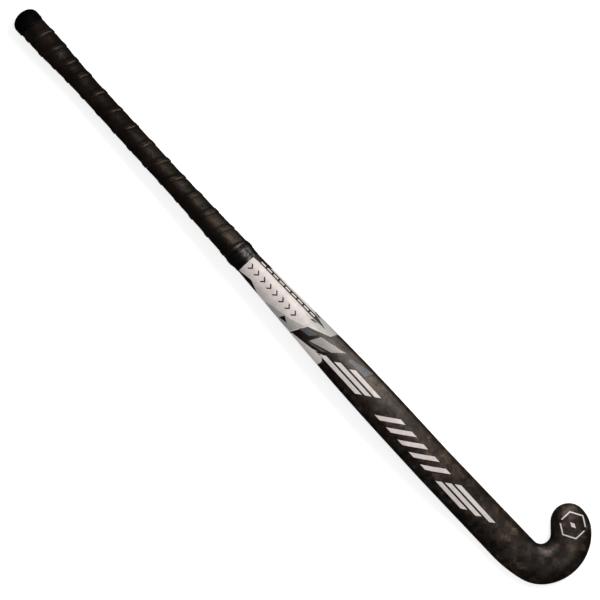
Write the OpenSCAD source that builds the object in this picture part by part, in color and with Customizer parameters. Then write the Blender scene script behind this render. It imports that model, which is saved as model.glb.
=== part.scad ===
// Field hockey stick, lying on its flat playing face with the rounded back up.
// Frame: +X runs from the butt to the hook, +Y to the toe side, +Z out of the back.
// The origin is on the playing face, on the shaft's centre line, below the hook's centre.

/* [Stick] */
// Length from the butt to the outside of the hook
stick_length = 927; // [880:1:970]
// Greatest height of the bowed face above the ground it lies on
bow_height = 19; // [5:1:24]
// Half width of the shaft where it meets the head
shaft_half_width = 23.6; // [20:0.1:25]
// Depth of the blade from its widest line down to the playing face
face_depth = 8; // [6:0.5:10]
// Height of the blade from its widest line up to the back
back_height = 15.8; // [12:0.2:18]
// Squareness of the blade's back, where 2 is an ellipse
back_exponent = 2.35; // [2:0.05:3]
// Wall of the carbon shell
shell_wall = 2.2; // [1.8:0.1:3]

/* [Head] */
// Radius of the outside of the hook
heel_radius = 60.5; // [58:0.5:63]
// Distance of the hook's centre from the shaft's centre line
hook_offset = 38; // [37:0.5:39]
// Radius of the inside of the crook
crook_radius = 11.3; // [10:0.1:12]
// Radius of the rounded toe
toe_radius = 21.7; // [21:0.1:22.5]
// Radius of the bend between the bottom of the heel and the outside of the hook
heel_bend_radius = 48; // [44:1:52]
// Radius of the long sweep from the shaft into the heel
heel_sweep_radius = 167; // [150:1:180]

/* [Grip] */
// Outside radius of the end cap
cap_radius = 16.45; // [16:0.05:17]
// Length of the end cap along the outside
cap_length = 20.6; // [18:0.2:24]
// Thickness of the wound grip between its ridges
grip_thickness = 1.6; // [1.2:0.1:2]
// Height of the ridge that the wound grip makes
ridge_height = 0.9; // [0.4:0.1:1.2]
// Advance of the winding for each turn
winding_pitch = 27.4; // [24:0.2:30]
// Advance of the closer turns next to the butt
butt_pitch = 22; // [20:0.5:26]
// Width of the finishing tape band
band_width = 20; // [16:1:20]

/* [Transfers] */
// Thickness of a printed transfer
film = 0.1; // [0.06:0.01:0.12]
// Distance from the shell to the under side of the first layer of transfers
film_gap = 0.15; // [0.14:0.01:0.2]
// Distance between the first and the second layer
layer_step = 0.24; // [0.23:0.01:0.3]

/* [Hidden] */

carbon = [0.13, 0.11, 0.10];
inner_carbon = [0.22, 0.22, 0.23];
foam_yellow = [0.85, 0.78, 0.55];
grip_black = [0.10, 0.08, 0.07];
tape_black = [0.03, 0.03, 0.03];
ink_white = [0.89, 0.85, 0.84];
ink_black = [0.05, 0.04, 0.04];
ink_grey = [0.62, 0.63, 0.61];
ink_slate = [0.30, 0.32, 0.34];

// Steps along the back half of a section, and along each rounded face corner
back_steps = 16;
corner_steps = 6;
// Number of ribs from the start of the hook to the tip of the toe
head_ribs = 36;
// Clear gap left between bonded pieces
bond_gap = 0.3;

// ---- Lengthwise curves of the shaft, from the butt to the head ----

butt_x = heel_radius - stick_length;
blade_corner = 9;
round_until = 330;
flat_from = 600;
butt_round = 13.7;
// Largest share of the half width that a rounded face corner takes up
corner_share = 0.97;

// Each row holds a distance from the butt, then the half width, the depth to the face
// and the height of the back of the bare shell at that place
shaft_rows = [
    [0, butt_round, butt_round, butt_round],
    [52, butt_round, butt_round, butt_round],
    [80, 12.3, 12.3, 12.3],
    [128, 11.2, 11.2, 11.2],
    [200, 11.7, 11.7, 11.7],
    [265, 11.8, 11.8, 11.8],
    [320, 12.8, 12.3, 12.6],
    [375, 14.3, 12.5, 13.3],
    [405, 15.7, 12.2, 13.8],
    [440, 17.1, 11.7, 14.3],
    [500, 19.8, 10.4, 15.1],
    [540, 21.4, 9.5, 15.5],
    [590, 22.9, 8.6, back_height],
    [650, shaft_half_width - 0.1, face_depth, back_height],
    [760, shaft_half_width, face_depth, back_height]
];

function mix(a, b, k) = a + (b - a) * k;
function clamp(x, lo, hi) = max(lo, min(hi, x));
function smooth(k) = let (c = clamp(k, 0, 1)) c * c * (3 - 2 * c);
function unit(v) = v / norm(v);

// Slope between two rows, and the tangent at a row that keeps the curve free of humps
function chord(rows, i, col) = (rows[i + 1][col] - rows[i][col]) / (rows[i + 1][0] - rows[i][0]);
function tangent(rows, i, col) =
    i == 0 || i == len(rows) - 1 ? (i == 0 ? chord(rows, 0, col) : chord(rows, i - 1, col)) :
    let (a = chord(rows, i - 1, col), b = chord(rows, i, col)) a * b <= 0 ? 0 : 2 * a * b / (a + b);

// Smooth curve through the rows, read at x
function row_before(rows, x, i = 0) =
    i >= len(rows) - 2 || x < rows[i + 1][0] ? i : row_before(rows, x, i + 1);
function curve(rows, x, col) =
    let (c = clamp(x, rows[0][0], rows[len(rows) - 1][0]),
         i = row_before(rows, c),
         h = rows[i + 1][0] - rows[i][0],
         k = (c - rows[i][0]) / h,
         m0 = tangent(rows, i, col) * h,
         m1 = tangent(rows, i + 1, col) * h)
    rows[i][col] * (2 * pow(k, 3) - 3 * k * k + 1) + m0 * (pow(k, 3) - 2 * k * k + k)
    + rows[i + 1][col] * (3 * k * k - 2 * pow(k, 3)) + m1 * (pow(k, 3) - k * k);

// ---- Bow of the face: straight handle, long rise, crest, then a blend into the flat head ----

handle_straight_to = butt_x + 380;
bow_peak_x = -270;
bow_dip_x = -80;
head_flat_x = -26;
bow_start = cap_radius - butt_round;
cap_shoulder = 12;
handle_slope = (bow_height - bow_start)
    / ((handle_straight_to + bow_peak_x) / 2 - butt_x - cap_shoulder);
rise_span = bow_peak_x - handle_straight_to;
fall_slope = 2 * bow_height / (head_flat_x - bow_peak_x);
crest_radius = (bow_dip_x - bow_peak_x) / fall_slope;
blend_radius = (head_flat_x - bow_dip_x) / fall_slope;

function bow(x) =
    x < handle_straight_to ? bow_start + handle_slope * (x - butt_x - cap_shoulder) :
    x < bow_peak_x ? bow_height - handle_slope * pow(bow_peak_x - x, 2) / (2 * rise_span) :
    x < bow_dip_x ? bow_height - pow(x - bow_peak_x, 2) / (2 * crest_radius) :
    x < head_flat_x ? pow(head_flat_x - x, 2) / (2 * blend_radius) : 0;
function bow_angle(x) = atan(
    x < handle_straight_to ? handle_slope :
    x < bow_peak_x ? handle_slope * (bow_peak_x - x) / rise_span :
    x < bow_dip_x ? -(x - bow_peak_x) / crest_radius :
    x < head_flat_x ? -(head_flat_x - x) / blend_radius : 0);

// A point at (x, y) of the plan, h above the bowed face and square to it
function raise(x, y, h) =
    let (a = bow_angle(x)) [x - h * sin(a), y, bow(x) + h * cos(a)];

// ---- Plan of the head: lines and arcs from the shaft round to the tip of the toe ----

head_x = -146.5;
hook_x = -40;
hook_centre = [0, hook_offset];
crook_centre = [1.2, hook_offset];
toe_centre = [12.4, hook_offset + 34.4];
toe_tip_angle = 158;
heel_bend_from = -35;
heel_sweep_from = -74;

top_rise = toe_centre.y + toe_radius - hook_offset;
top_radius = (pow(heel_radius, 2) - pow(toe_centre.x, 2) - pow(top_rise, 2))
    / (2 * (heel_radius - top_rise));
top_centre = [toe_centre.x, toe_centre.y + toe_radius - top_radius];
top_from = atan2(top_centre.y - hook_offset, top_centre.x);
function on_circle(c, r, a) = c + r * [cos(a), sin(a)];
heel_bend_centre = on_circle(hook_centre, heel_radius - heel_bend_radius, heel_bend_from);
heel_sweep_centre =
    on_circle(heel_bend_centre, heel_bend_radius - heel_sweep_radius, heel_sweep_from);

// Angle on a circle where a line from p runs onto its lower side
function touch_angle(p, c, r) = let (d = c - p) atan2(d.y, d.x) - asin(r / norm(d)) - 90;
toe_line_start = [head_x, shaft_half_width];
heel_line_start = [head_x, -shaft_half_width];
crook_from = touch_angle(toe_line_start, crook_centre, crook_radius);
sweep_from = touch_angle(heel_line_start, heel_sweep_centre, heel_sweep_radius);

// The straight flank between crook and toe touches both circles, one on each side
flank = crook_centre - toe_centre;
flank_from = atan2(flank.y, flank.x) - acos((toe_radius + crook_radius) / norm(flank));

// A segment is ["line", from, to] or ["arc", centre, radius, from angle, to angle]
function segment_length(s) =
    s[0] == "line" ? norm(s[2] - s[1]) : abs(s[4] - s[3]) * s[2] * PI / 180;
function segment_at(s, d) =
    let (k = d / segment_length(s))
    s[0] == "line" ? mix(s[1], s[2], k) : on_circle(s[1], s[2], mix(s[3], s[4], k));
function path_length(path, i = 0) =
    i == len(path) ? 0 : segment_length(path[i]) + path_length(path, i + 1);
function path_at(path, d, i = 0) =
    let (s = segment_length(path[i]))
    d <= s || i == len(path) - 1 ? segment_at(path[i], min(d, s)) : path_at(path, d - s, i + 1);

crook_start = on_circle(crook_centre, crook_radius, crook_from);
sweep_start = on_circle(heel_sweep_centre, heel_sweep_radius, sweep_from);
function line_point(a, b, x) = mix(a, b, (x - a.x) / (b.x - a.x));
function toe_line(x) = line_point(toe_line_start, crook_start, x);
function heel_line(x) = line_point(heel_line_start, sweep_start, x);

inner_path = [
    ["line", toe_line(hook_x), crook_start],
    ["arc", crook_centre, crook_radius, crook_from, flank_from + 180],
    ["line", on_circle(crook_centre, crook_radius, flank_from + 180),
             on_circle(toe_centre, toe_radius, flank_from)],
    ["arc", toe_centre, toe_radius, flank_from, toe_tip_angle - 360]
];
outer_path = [
    ["line", heel_line(hook_x), sweep_start],
    ["arc", heel_sweep_centre, heel_sweep_radius, sweep_from, heel_sweep_from],
    ["arc", heel_bend_centre, heel_bend_radius, heel_sweep_from, heel_bend_from],
    ["arc", hook_centre, heel_radius, heel_bend_from, top_from],
    ["arc", top_centre, top_radius, top_from, 90],
    ["arc", toe_centre, toe_radius, 90, toe_tip_angle]
];

// Places that face each other across the hook: its start, the depth of the crook,
// the widest part of the toe and its tip
inner_length = path_length(inner_path);
outer_length = path_length(outer_path);
crook_depth_at = segment_length(inner_path[0])
    + segment_length(["arc", crook_centre, crook_radius, crook_from, 0]);
hook_side_at = path_length([for (i = [0:2]) outer_path[i]])
    + segment_length(["arc", hook_centre, heel_radius, heel_bend_from, 0]);
pairing = [
    [0, 0, 0],
    [0.5, crook_depth_at, hook_side_at],
    [0.75, inner_length - segment_length(inner_path[3]),
           outer_length - segment_length(outer_path[5])],
    [1, inner_length, outer_length]
];

function toe_edge(f) = path_at(inner_path, curve(pairing, f, 1));
function heel_edge(f) = path_at(outer_path, curve(pairing, f, 2));
function rib_half(f) = (toe_edge(f) - heel_edge(f)) / 2;
widest_at = 0.6;
widest = norm(rib_half(widest_at));

// ---- Stations: middle, half rib, face depth, back height, corner, exponent, toe closing ----

function shaft_station(x) =
    let (d = x - butt_x,
         w = curve(shaft_rows, d, 1),
         k = smooth((d - round_until) / (flat_from - round_until)),
         toe_side = x < head_x ? [x, w] : toe_line(x),
         heel_side = x < head_x ? [x, -w] : heel_line(x))
    [(toe_side + heel_side) / 2, (toe_side - heel_side) / 2, curve(shaft_rows, d, 2),
     curve(shaft_rows, d, 3), mix(corner_share * w, blade_corner, k), mix(2, back_exponent, k), 1];
function head_station(f) =
    let (half = rib_half(f))
    [(toe_edge(f) + heel_edge(f)) / 2, half, face_depth, back_height, blade_corner,
     back_exponent, f > widest_at ? min(1, norm(half) / widest) : 1];

// Samples round a section: an angle, and 0 on the back or the side of a face corner
rim = concat(
    [for (i = [0:back_steps]) [180 * i / back_steps, 0]],
    [for (i = [1:corner_steps]) [90 * i / corner_steps, -1]],
    [for (i = [corner_steps:-1:1]) [90 * i / corner_steps, 1]]
);

// Height of the back and of the face above the playing face at a share v of the half width
function closed_share(v, closing) = sqrt(max(0, 1 - (1 - v * v) * closing * closing));
function back_at(st, v, grow) =
    let (e = min(1, closed_share(v, st[6])))
    st[2] + (st[3] + grow) * pow(max(0, 1 - pow(e, st[5])), 1 / st[5]);
function face_at(st, v, grow) =
    let (c = (st[4] + grow) / (norm(st[1]) / st[6] + grow),
         e = (closed_share(v, st[6]) - (1 - c)) / c)
    st[2] - (st[2] + grow) * sqrt(max(0, 1 - pow(max(0, e), 2)));

// One sample of a section that is grown outwards, or inset where grow is negative
function section_point(st, sample, grow) =
    let (w = norm(st[1]),
         c = min(corner_share, (st[4] + grow) / (w + grow)),
         v = sample[1] == 0 ? cos(sample[0]) : sample[1] * (1 - c * (1 - cos(sample[0]))),
         p = st[0] + st[1] * v * (w + grow) / w)
    raise(p.x, p.y, sample[1] == 0 ? back_at(st, v, grow) : face_at(st, v, grow));
function ring(st, grow = 0) = [for (s = rim) section_point(st, s, grow)];

// ---- Skins ----

function flip(list) = [for (i = [len(list) - 1:-1:0]) list[i]];
function band_faces(n, a, b) = [for (j = [0:n - 1], t = [0, 1])
    t == 0 ? [a * n + j, b * n + j, b * n + (j + 1) % n]
           : [a * n + j, b * n + (j + 1) % n, a * n + (j + 1) % n]];

// Solid through a list of rings, with both ends closed
module loft(rings) {
    n = len(rings[0]);
    m = len(rings);
    sides = [for (i = [0:m - 2]) each band_faces(n, i, i + 1)];
    first = [for (j = [0:n - 1]) j];
    last = [for (j = [n - 1:-1:0]) (m - 1) * n + j];
    polyhedron([for (r = rings) each r], concat(sides, [first, last]));
}

// Hollow piece whose rings run along the outside and back along the inside
module sleeve(outside, inside) {
    rings = concat(outside, flip(inside));
    n = len(rings[0]);
    m = len(rings);
    sides = [for (i = [0:m - 1]) each band_faces(n, i, (i + 1) % m)];
    polyhedron([for (r = rings) each r], sides);
}

function spread(a, b, n) = [for (i = [0:n]) mix(a, b, i / n)];

// ---- Shell ----

// The shell starts inside the end cap, past the cap's solid end
handle_angle = bow_angle(butt_x);
axis_shift = butt_round * sin(handle_angle);
cap_solid = 7.4;
cap_slack = 0.1;
shell_start = butt_x + axis_shift + cap_solid + cap_slack;
// The cavity ends in the toe, where the shell closes up solid
cavity_end = 0.8;
cavity_ribs = spread(0, cavity_end, 16);
// Ribs draw closer together towards the tip, and the last one is left out
tip_exponent = 1.7;
tip_cut = 0.05;
handle_stations = 18;
shaft_stations = 25;
neck_stations = 9;
cavity_stations = 34;
// Distance from the last station of one run to the first of the next
station_join = 12;
core_join = 6;
shell_stations = concat(
    spread(shell_start, handle_straight_to - station_join, handle_stations),
    spread(handle_straight_to, head_x, shaft_stations),
    [for (i = [1:neck_stations - 1]) mix(head_x, hook_x, i / neck_stations)]
);

module outer_shell() {
    outside = concat(
        [for (x = shell_stations) ring(shaft_station(x))],
        [for (u = spread(0, 1 - tip_cut, head_ribs))
            ring(head_station(1 - pow(1 - u, tip_exponent)))]);
    inside = concat(
        [for (x = spread(shell_start, hook_x - station_join, cavity_stations))
            ring(shaft_station(x), -shell_wall)],
        [for (f = cavity_ribs) ring(head_station(f), -shell_wall)]);
    color(carbon) loft(concat(flip(inside), outside));
}

// ---- Inside the shell ----

// Clear length left between the ends of neighbouring pieces
end_gap = 1;
tube_wall = 1;
tube_start = butt_x + 82;
tube_end = -66;
tube_stations = 25;
tube_steps = 18;
tube_squareness = 5;
rib_gap = 0.15;

// One sample round a tube that fills the cavity on one side of the centre line
function tube_point(st, side, a, inset) =
    let (grow = -(shell_wall + bond_gap + inset),
         near = rib_gap + inset,
         far = norm(st[1]) + grow,
         y = mix(near, far, (1 + cos(a)) / 2),
         v = y / far,
         round_off = pow(max(0, 1 - pow(abs(cos(a)), tube_squareness)), 1 / tube_squareness),
         h = sin(a) >= 0 ? back_at(st, v, grow) : face_at(st, v, grow))
    raise(st[0].x, st[0].y + side * y, mix(st[2], h, round_off));
function tube_ring(x, side, inset) =
    let (st = shaft_station(x))
    [for (i = [0:tube_steps - 1]) tube_point(st, side, side * 360 * i / tube_steps, inset)];
module inner_tube(side) {
    xs = spread(tube_start, tube_end, tube_stations);
    sleeve([for (x = xs) tube_ring(x, side, 0)], [for (x = xs) tube_ring(x, side, tube_wall)]);
}

module toe_side_tube() {
    color(inner_carbon) inner_tube(1);
}

module heel_side_tube() {
    color(inner_carbon) inner_tube(-1);
}

core_inset = shell_wall + bond_gap;
module head_core() {
    stations = concat(
        [for (x = spread(tube_end + end_gap, hook_x - core_join, 2)) shaft_station(x)],
        [for (i = [0:len(cavity_ribs) - 2]) head_station(cavity_ribs[i])]);
    color(foam_yellow) loft([for (st = stations) ring(st, -core_inset)]);
}

spigot_length = 20;
foam_start = shell_start + spigot_length + end_gap;
foam_end = tube_start - end_gap;
foam_stations = 6;
module handle_foam() {
    stations = [for (x = spread(foam_start, foam_end, foam_stations)) shaft_station(x)];
    color(foam_yellow) loft([for (st = stations) ring(st, -core_inset)]);
}

// ---- End cap: dome, skirt over the shell and spigot inside it ----

cap_bore = butt_round + cap_slack;
spigot_radius = butt_round - shell_wall - bond_gap;
spigot_end = cap_solid + spigot_length;
dome_steps = 12;
cap_facets = 96;
cap_outline = concat(
    [for (i = [0:dome_steps])
        [cap_radius * sin(90 * i / dome_steps), cap_shoulder * (1 - cos(90 * i / dome_steps))]],
    [[cap_radius, cap_length], [cap_bore, cap_length], [cap_bore, cap_solid],
     [spigot_radius, cap_solid], [spigot_radius, spigot_end], [0, spigot_end]]
);
module on_handle_axis() {
    tip = raise(butt_x + axis_shift, 0, butt_round);
    translate(tip) rotate([0, 90 - handle_angle, 0]) children();
}

module end_cap() {
    color(tape_black) on_handle_axis() rotate_extrude($fn = cap_facets) polygon(cap_outline);
}

// ---- Grip: one wound strip, whose overlaps stand up as a helical ridge ----

cap_to_grip = 0.6;
grip_start = butt_x + cap_length + cap_to_grip;
grip_end = -479;
pitch_change = -764.5;
// Half width of a ridge, as a share of a turn
ridge_width = 0.34;
grip_rings = 66;
grip_clear = 0.12;
// The strip thins towards its cut end, and the ridges fade out at both ends
cut_thickness = 0.7;
taper_length = 12;
taper_overrun = 4;
fade_out_length = 10;
fade_in_length = 5;
fade_in_lead = 3;

// Turns of the winding counted along the handle
function turns_at(x) =
    (x - pitch_change) / (x < pitch_change ? butt_pitch : winding_pitch);
function ridge_at(x, a) =
    let (turn = turns_at(x) + (a - 90) / 360,
         off = abs(turn - round(turn)) / ridge_width)
    ridge_height * pow(max(0, 1 - off * off), 2);
function end_fade(x) = smooth((grip_end - x) / fade_out_length)
    * smooth((x - grip_start + fade_in_lead) / fade_in_length);

// Growth of the grip over the shell at one sample of a ring
function grip_growth(x, a) =
    mix(cut_thickness, grip_thickness, smooth((grip_end + taper_overrun - x) / taper_length))
    + end_fade(x) * ridge_at(x, a);
function sample_angle(s) =
    s[1] == 0 ? s[0] : s[1] < 0 ? 180 + s[0] : 360 - s[0];
function grip_ring(x) =
    let (st = shaft_station(x))
    [for (s = rim) section_point(st, s, grip_growth(x, sample_angle(s)))];

module grip_tape() {
    xs = spread(grip_start, grip_end, grip_rings);
    inner_xs = concat(
        [grip_start],
        [for (x = shell_stations) if (x > grip_start + end_gap && x < grip_end - end_gap) x],
        [grip_end]);
    color(grip_black)
        sleeve([for (x = xs) grip_ring(x)],
               [for (x = inner_xs) ring(shaft_station(x), grip_clear)]);
}

// ---- Finishing tape: a stretched band over the end of the grip and the bare shaft ----

band_start = -488;
band_end = band_start + band_width;
band_rings = 11;
band_clear = 0.12;
shaft_clear = 0.1;
// Share of a ridge's height that is left under the stretched band
pressed_share = 0.6;
// The band drops from the grip to the shaft over this length, ending past the grip's end
drop_length = 10;
drop_overrun = 6;
edge_thickness = 0.25;
middle_bulge = 0.35;

// Growth of the band's under side: it climbs over the grip's end and back to the shaft
function under_band(x) =
    band_clear + mix(shaft_clear, grip_thickness + ridge_height * pressed_share,
                     smooth((grip_end + drop_overrun - x) / drop_length));
function over_band(x) =
    let (k = (x - band_start) / band_width)
    under_band(x) + edge_thickness + middle_bulge * sin(180 * clamp(k, 0, 1));
module finishing_tape() {
    xs = spread(band_start, band_end, band_rings);
    color(tape_black)
        sleeve([for (x = xs) ring(shaft_station(x), over_band(x))],
               [for (x = xs) ring(shaft_station(x), under_band(x))]);
}

// ---- Transfers: thin printed films that follow the back of the shell ----

edge_share = 0.995;
film_step_along = 12;
film_step_round = 9.5;
// A y that lies past either side of the shaft, for a film that runs to the edge
over_edge = 99;

// Point of the plan, and how far round the back it lies, 0 at the toe side
function round_angle(p) =
    let (st = shaft_station(p.x), v = (p.y - st[0].y) / norm(st[1]))
    acos(clamp(v, -edge_share, edge_share));

// Point on the back of the shaft, a distance off the surface
function film_point(x, a, off) =
    let (st = shaft_station(x),
         w = norm(st[1]),
         n = st[5],
         v = cos(a),
         s = pow(1 - pow(abs(v), n), 1 / n),
         across = sign(v) * pow(abs(v), n - 1) / w,
         up = pow(s, n - 1) / st[3],
         out = off * unit([across, up]))
    raise(x, st[0].y + v * w + out.x, st[2] + s * st[3] + out.y);

function film_offset(layer) = film_gap + layer * layer_step;

// Closed thin solid between a lower and an upper grid of points
module film_solid(lower, upper) {
    m = len(lower);
    n = len(lower[0]);
    size = m * n;
    points = concat([for (r = lower) each r], [for (r = upper) each r]);
    function quad(a, b, c, d) = [[a, c, b], [a, d, c]];
    top = [for (i = [0:m - 2], j = [0:n - 2]) let (k = size + i * n + j)
        each quad(k, k + n, k + n + 1, k + 1)];
    bottom = [for (i = [0:m - 2], j = [0:n - 2]) let (k = i * n + j)
        each quad(k, k + 1, k + n + 1, k + n)];
    low_side = [for (i = [0:m - 2]) let (k = i * n) each quad(k, k + n, k + n + size, k + size)];
    high_side = [for (i = [0:m - 2]) let (k = i * n + n - 1)
        each quad(k, k + size, k + n + size, k + n)];
    start = [for (j = [0:n - 2]) each quad(j, j + size, j + 1 + size, j + 1)];
    end = [for (j = [0:n - 2]) let (k = (m - 1) * n + j)
        each quad(k, k + 1, k + 1 + size, k + size)];
    polyhedron(points, concat(top, bottom, low_side, high_side, start, end));
}

// Columns are pairs of plan points, low y then high y, that follow one another along x
function turn_between(p, q) = abs(round_angle(p) - round_angle(q));
function column_steps(a, b) = ceil(max(norm(b[0] - a[0]) / film_step_along,
    turn_between(a[0], b[0]) / film_step_round, turn_between(a[1], b[1]) / film_step_round));
function refine(columns) = concat(
    [for (i = [0:len(columns) - 2])
        let (steps = column_steps(columns[i], columns[i + 1]))
        for (k = [0:steps - 1]) mix(columns[i], columns[i + 1], k / steps)],
    [columns[len(columns) - 1]]);
function bounded(p) = let (st = shaft_station(p.x), w = edge_share * norm(st[1]))
    [p.x, clamp(p.y, st[0].y - w, st[0].y + w)];
module film_patch(columns, layer) {
    kept = [for (c = columns) [bounded(c[0]), bounded(c[1])]];
    rows = max(2, ceil(max([for (c = kept) turn_between(c[0], c[1])]) / film_step_round));
    function grid(off) = [for (c = refine(kept))
        let (a0 = round_angle(c[0]), a1 = round_angle(c[1]))
        [for (j = [0:rows]) film_point(mix(c[0].x, c[1].x, j / rows), mix(a0, a1, j / rows), off)]];
    under = film_offset(layer);
    film_solid(grid(under), grid(under + film));
}

module panel_transfer() {
    color(ink_white) {
        film_patch([
            [[-468, -14], [-468, 8.8]],
            [[-450, -11], [-450, 11]],
            [[-433, -over_edge], [-442, over_edge]],
            [[-375, -over_edge], [-379, over_edge]],
            [[-365, 0.6], [-364.5, over_edge]],
            [[-338, 12.4], [-333, over_edge]]
        ], 0);
        film_patch([
            [[-374, -over_edge], [-372, -17.8]],
            [[-343, -over_edge], [-342.5, -13]],
            [[-334, -over_edge], [-330.5, -8]],
            [[-325, -over_edge], [-324, -15]]
        ], 0);
    }
}

module arrow_transfer() {
    color(ink_black) {
        film_patch([
            [[-460, 9.8], [-460, 14]],
            [[-367, 12.4], [-367, 16.9]],
            [[-350, 13.6], [-350, 14]]
        ], 1);
        film_patch([[[-372.5, 18.6], [-371, 20]], [[-364, 17.4], [-362, 18.4]]], 1);
        film_patch([[[-369.5, 8.6], [-367.5, 11.4]], [[-361, 11], [-362, 12]]], 1);
        film_patch([[[-396.5, -16.4], [-393, -10.7]], [[-385, -14.3], [-392, -10.7]]], 2);
        film_patch([[[-338.5, -12], [-310, 9.6]], [[-335, -12], [-306.8, 9.6]]], 1);
    }
}

dash_start = [-457.5, 11.9];
dash_pitch = 10.2;
dash_climb = 0.31;
dash_length = 7.6;
dash_half_width = 0.7;
dash_tilt = 0.25;
dash_count = 9;
module dash_transfer() {
    color(ink_white)
        for (i = [0:dash_count - 1]) {
            from = dash_start + i * [dash_pitch, dash_climb];
            to = from + [dash_length, dash_tilt];
            half = [0, dash_half_width];
            film_patch([[from - half, from + half], [to - half, to + half]], 2);
        }
}

chevron_count = 8;
chevron_start = -464;
chevron_pitch = 10.6;
chevron_low = -4.7;
chevron_high = 2.9;
chevron_stroke = 2.2;
chevron_depth = 3.8;
// Half of the hair gap between the two strokes of a chevron
chevron_split = 0.1;
module chevron_transfer() {
    middle = (chevron_low + chevron_high) / 2;
    color(ink_black)
        for (i = [0:chevron_count - 1], side = [-1, 1]) {
            x = chevron_start + i * chevron_pitch;
            end = side < 0 ? chevron_low : chevron_high;
            tail = [[x, end], [x + chevron_stroke, end]];
            split = middle + side * chevron_split;
            nose = [[x + chevron_depth, split], [x + chevron_depth + chevron_stroke, split]];
            low = side < 0 ? tail : nose;
            high = side < 0 ? nose : tail;
            film_patch([[low[0], high[0]], [low[1], high[1]]], 1);
        }
}

module shade_transfer() {
    color(ink_grey)
        film_patch([
            [[-419, -over_edge], [-419, -15.2]],
            [[-386, -over_edge], [-386, -8.4]],
            [[-375.5, -17.4], [-374, -3.9]],
            [[-368, -3.4], [-367, -1.3]]
        ], 1);
}

module ribbed_block_transfer() {
    color(ink_grey)
        film_patch([[[-352, -9.3], [-345.5, 3.9]], [[-324.5, 0.1], [-312, 12.4]]], 1);
}

module slate_block_transfer() {
    color(ink_slate) {
        film_patch([[[-370.5, -8.4], [-364.6, 0.2]], [[-355.5, -5.5], [-350, 2.7]]], 1);
        film_patch([[[-354, -12.1], [-349.5, -9.4]], [[-333, -7], [-328, -3.2]]], 1);
        film_patch([[[-303.5, 8.7], [-302, 13]], [[-276.5, 10], [-271.5, 20.4]]], 1);
    }
}

bar_lean = 1.3;
bar_base = -11.3;
bar_height = 4.8;
bar_gap = 2.2;
// Each group holds where its lowest bar starts, its length, and what each bar above adds to both
bar_groups = [[-332, 62, 9, -9], [-133.5, 44, 0, 9]];
slash_count = 5;
slash_from = -237;
slash_pitch = 19.4;
slash_width = 8.6;
slash_height = 3 * bar_height + 2 * bar_gap;
module leaning_bar(x, low, height, length) {
    toe_shift = bar_lean * (low + height - bar_base);
    heel_shift = bar_lean * (low - bar_base);
    film_patch([
        [[x + heel_shift, low], [x + toe_shift, low + height]],
        [[x + length + heel_shift, low], [x + length + toe_shift, low + height]]
    ], 1);
}
module speed_bar_transfer() {
    color(ink_white) {
        for (group = bar_groups, row = [0:2])
            leaning_bar(group[0] + row * group[2], bar_base + row * (bar_height + bar_gap),
                        bar_height, group[1] + row * group[3]);
        for (i = [0:slash_count - 1])
            leaning_bar(slash_from + i * slash_pitch, bar_base, slash_height, slash_width);
    }
}

// ---- Head badge: two facing brackets that make an open hexagon, round a small diamond ----

badge_centre = [18, hook_offset + 34.8];
badge_radius = 17;
badge_line = 1.7;
badge_gap = 0.16;
badge_off = 0.2;
badge_turn = 60;
diamond_radius = 5;
diamond_tip = 0.2;
diamond_steps = 4;
bracket_steps = 4;

// Share of the way along the hook whose rib passes over a plan point
function cross_z(a, b) = a.x * b.y - a.y * b.x;
function rib_over(p, lo = 0.4, hi = 0.95, n = 14) =
    let (f = (lo + hi) / 2, q = heel_edge(f))
    n == 0 ? f :
    cross_z(toe_edge(f) - q, p - q) > 0 ? rib_over(p, lo, f, n - 1) : rib_over(p, f, hi, n - 1);
function head_point(p, off) =
    let (st = head_station(rib_over(p)),
         v = (p - st[0]) * st[1] / (st[1] * st[1]))
    raise(p.x, p.y, back_at(st, v, 0) + off);
module head_film(columns) {
    function grid(off) = [for (c = columns) [for (k = [0, 1]) head_point(c[k], off)]];
    film_solid(grid(badge_off), grid(badge_off + film));
}
function hexagon_corner(r, k) = on_circle(badge_centre, r, badge_turn * k + badge_turn / 2);
function hexagon_edge(r, k, t) = mix(hexagon_corner(r, k), hexagon_corner(r, k + 1), t);
module badge_bracket(first) {
    head_film([for (k = [first:first + 2], i = [0:bracket_steps])
        if (i < bracket_steps || k == first + 2)
            let (t = clamp(i / bracket_steps, k == first ? badge_gap : 0,
                           k == first + 2 ? 1 - badge_gap : 1))
            [hexagon_edge(badge_radius, k, t), hexagon_edge(badge_radius - badge_line, k, t)]]);
}
module head_badge() {
    color(ink_white) {
        badge_bracket(0);
        badge_bracket(3);
        head_film([for (i = [0:diamond_steps])
            let (a = mix(-diamond_radius, diamond_radius, i / diamond_steps),
                 b = max(diamond_tip, diamond_radius - abs(a)) / 2)
            [badge_centre + [a, -b], badge_centre + [a, b]]]);
    }
}

outer_shell();
toe_side_tube();
heel_side_tube();
head_core();
handle_foam();
end_cap();
grip_tape();
finishing_tape();
panel_transfer();
arrow_transfer();
dash_transfer();
chevron_transfer();
shade_transfer();
ribbed_block_transfer();
slate_block_transfer();
speed_bar_transfer();
head_badge();
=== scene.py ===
import math

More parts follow.
